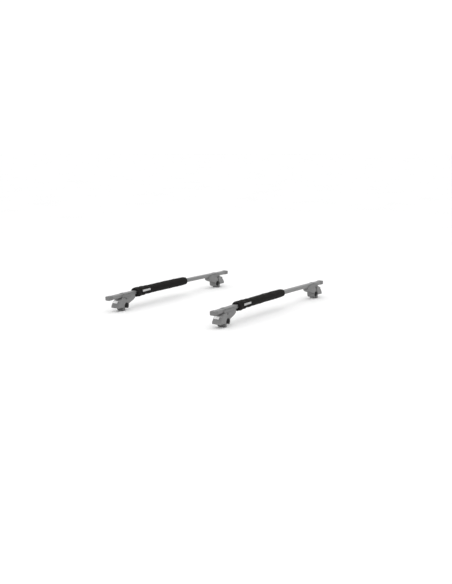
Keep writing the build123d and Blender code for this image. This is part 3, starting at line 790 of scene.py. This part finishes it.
def add_closure(run, tree, x_range, cloth):
    """The flap that closes the sleeve underneath, and the edge of its hook-and-loop tape."""
    flap = patch(f"{run.place}_closure_flap", tree, run, x_range, FLAP_ANGLES, FLAP_QUADS, FLAP_THICKNESS,
                 cloth)
    dress(flap, run)
    tape_angles = (FLAP_ANGLES[1], FLAP_ANGLES[1] + TAPE_ANGLE)
    tape = patch(f"{run.place}_closure_tape", tree, run, x_range, tape_angles, TAPE_QUADS, TAPE_THICKNESS,
                 slots["hook_and_loop"])
    dress(tape, run)
    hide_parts(f"{run.place}_pad_closure")


def add_label(run, tree, x_range, weave_centre):
    """The blank label on the sleeve's front."""
    tag = woven(f"{run.place} label cloth", PALE_CLOTH, LABEL_THREAD, weave_centre)
    label = patch(f"{run.place}_blank_label", tree, run, x_range, LABEL_ANGLES, LABEL_QUADS, LABEL_THICKNESS,
                  tag)
    dress(label, run)
    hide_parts(f"{run.place}_pad_label")


def add_seams(run, tree, x_range):
    """Black stitching round both hems and along the flap."""
    seams = [ring_line(tree, run, hem) for hem in (run.left + HEM_INSET, run.right - HEM_INSET)]
    for angle in (FLAP_ANGLES[0] + FLAP_SEAM_INSET, FLAP_ANGLES[1] - FLAP_SEAM_INSET):
        seams.append(lifted(long_line(tree, run, x_range, angle), FLAP_THICKNESS))
    for number, line in enumerate(seams):
        dress(stitched_line(f"{run.place}_seam_{number}", line, black_thread), run)


def add_label_stitching(run, tree, x_range):
    """Pale stitching round the label, just inside its edge."""
    along, around = LABEL_BORDER
    inner_x = (x_range[0] + along, x_range[1] - along)
    inner_angles = (LABEL_ANGLES[0] + around, LABEL_ANGLES[1] - around)
    border = lifted(frame_line(tree, run, inner_x, inner_angles), LABEL_THICKNESS)
    dress(stitched_line(f"{run.place}_label_stitching", border, pale_thread), run)


def make_pad(place):
    """One padded sleeve with its closure, label and stitching."""
    run = Run(place)
    weave_centre = (run.bar_y, run.crown)
    cloth = woven(f"{place} sleeve cloth", BLACK_CLOTH, SLEEVE_THREAD, weave_centre)
    tree = surface_tree(make_sleeve(run, cloth))
    between_hems = (run.left + FLAP_INSET, run.right - FLAP_INSET)
    label_low, label_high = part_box(f"{place}_pad_label")
    label_x = (label_low.x, label_high.x)
    add_closure(run, tree, between_hems, cloth)
    add_label(run, tree, label_x, weave_centre)
    add_seams(run, tree, between_hems)
    add_label_stitching(run, tree, label_x)


for place in PLACES:
    make_pad(place)


# ---------------------------------------------------------------- floor, light and camera

def studio_disc(material):
    """Round floor, wide enough to run out to the horizon."""
    vertices = [(0, 0, 0)]
    for radius in FLOOR_RINGS:
        for step in range(FLOOR_SIDES):
            angle = math.tau * step / FLOOR_SIDES
            vertices.append((radius * math.cos(angle), radius * math.sin(angle), 0))
    faces = [(0, 1 + step, 1 + (step + 1) % FLOOR_SIDES) for step in range(FLOOR_SIDES)]
    for ring in range(len(FLOOR_RINGS) - 1):
        inner = 1 + ring * FLOOR_SIDES
        outer = inner + FLOOR_SIDES
        for step in range(FLOOR_SIDES):
            beside = (step + 1) % FLOOR_SIDES
            faces.append((inner + step, outer + step, outer + beside, inner + beside))
    mesh_object("studio_floor", vertices, faces, material)


def softbox(name, place, size, power):
    """A rectangular area light aimed at the origin."""
    light = bpy.data.lights.new(name, "AREA")
    light.shape = "RECTANGLE"
    light.size = size[0]
    light.size_y = size[1]
    light.energy = power
    lamp = link(bpy.data.objects.new(name, light))
    lamp.location = place
    lamp.rotation_mode = "QUATERNION"
    lamp.rotation_quaternion = (-Vector(place)).to_track_quat("-Z", "Y")


def sky():
    """Even pale light from all round."""
    world = bpy.data.worlds.new("studio")
    world.use_nodes = True
    background = world.node_tree.nodes["Background"]
    background.inputs["Color"].default_value = (1, 1, 1, 1)
    background.inputs["Strength"].default_value = SKY_STRENGTH
    bpy.context.scene.world = world


def camera():
    """Camera at the viewing angle, level and with no shift."""
    lens = bpy.data.cameras.new("camera")
    lens.lens = LENS
    lens.sensor_width = 36.0
    view = link(bpy.data.objects.new("camera", lens))
    view.location = CAMERA_PLACE
    forward = Vector((-math.sin(CAMERA_AZIMUTH) * math.cos(CAMERA_PITCH),
                      -math.cos(CAMERA_AZIMUTH) * math.cos(CAMERA_PITCH), -math.sin(CAMERA_PITCH)))
    view.rotation_mode = "QUATERNION"
    view.rotation_quaternion = forward.to_track_quat("-Z", "Y")
    bpy.context.scene.camera = view


studio_disc(studio_floor("studio floor", PALE_FLOOR))
sky()
for name, place, size, power in SOFTBOXES:
    softbox(name, place, size, power)
camera()
bpy.context.scene.view_settings.view_transform = "Standard"
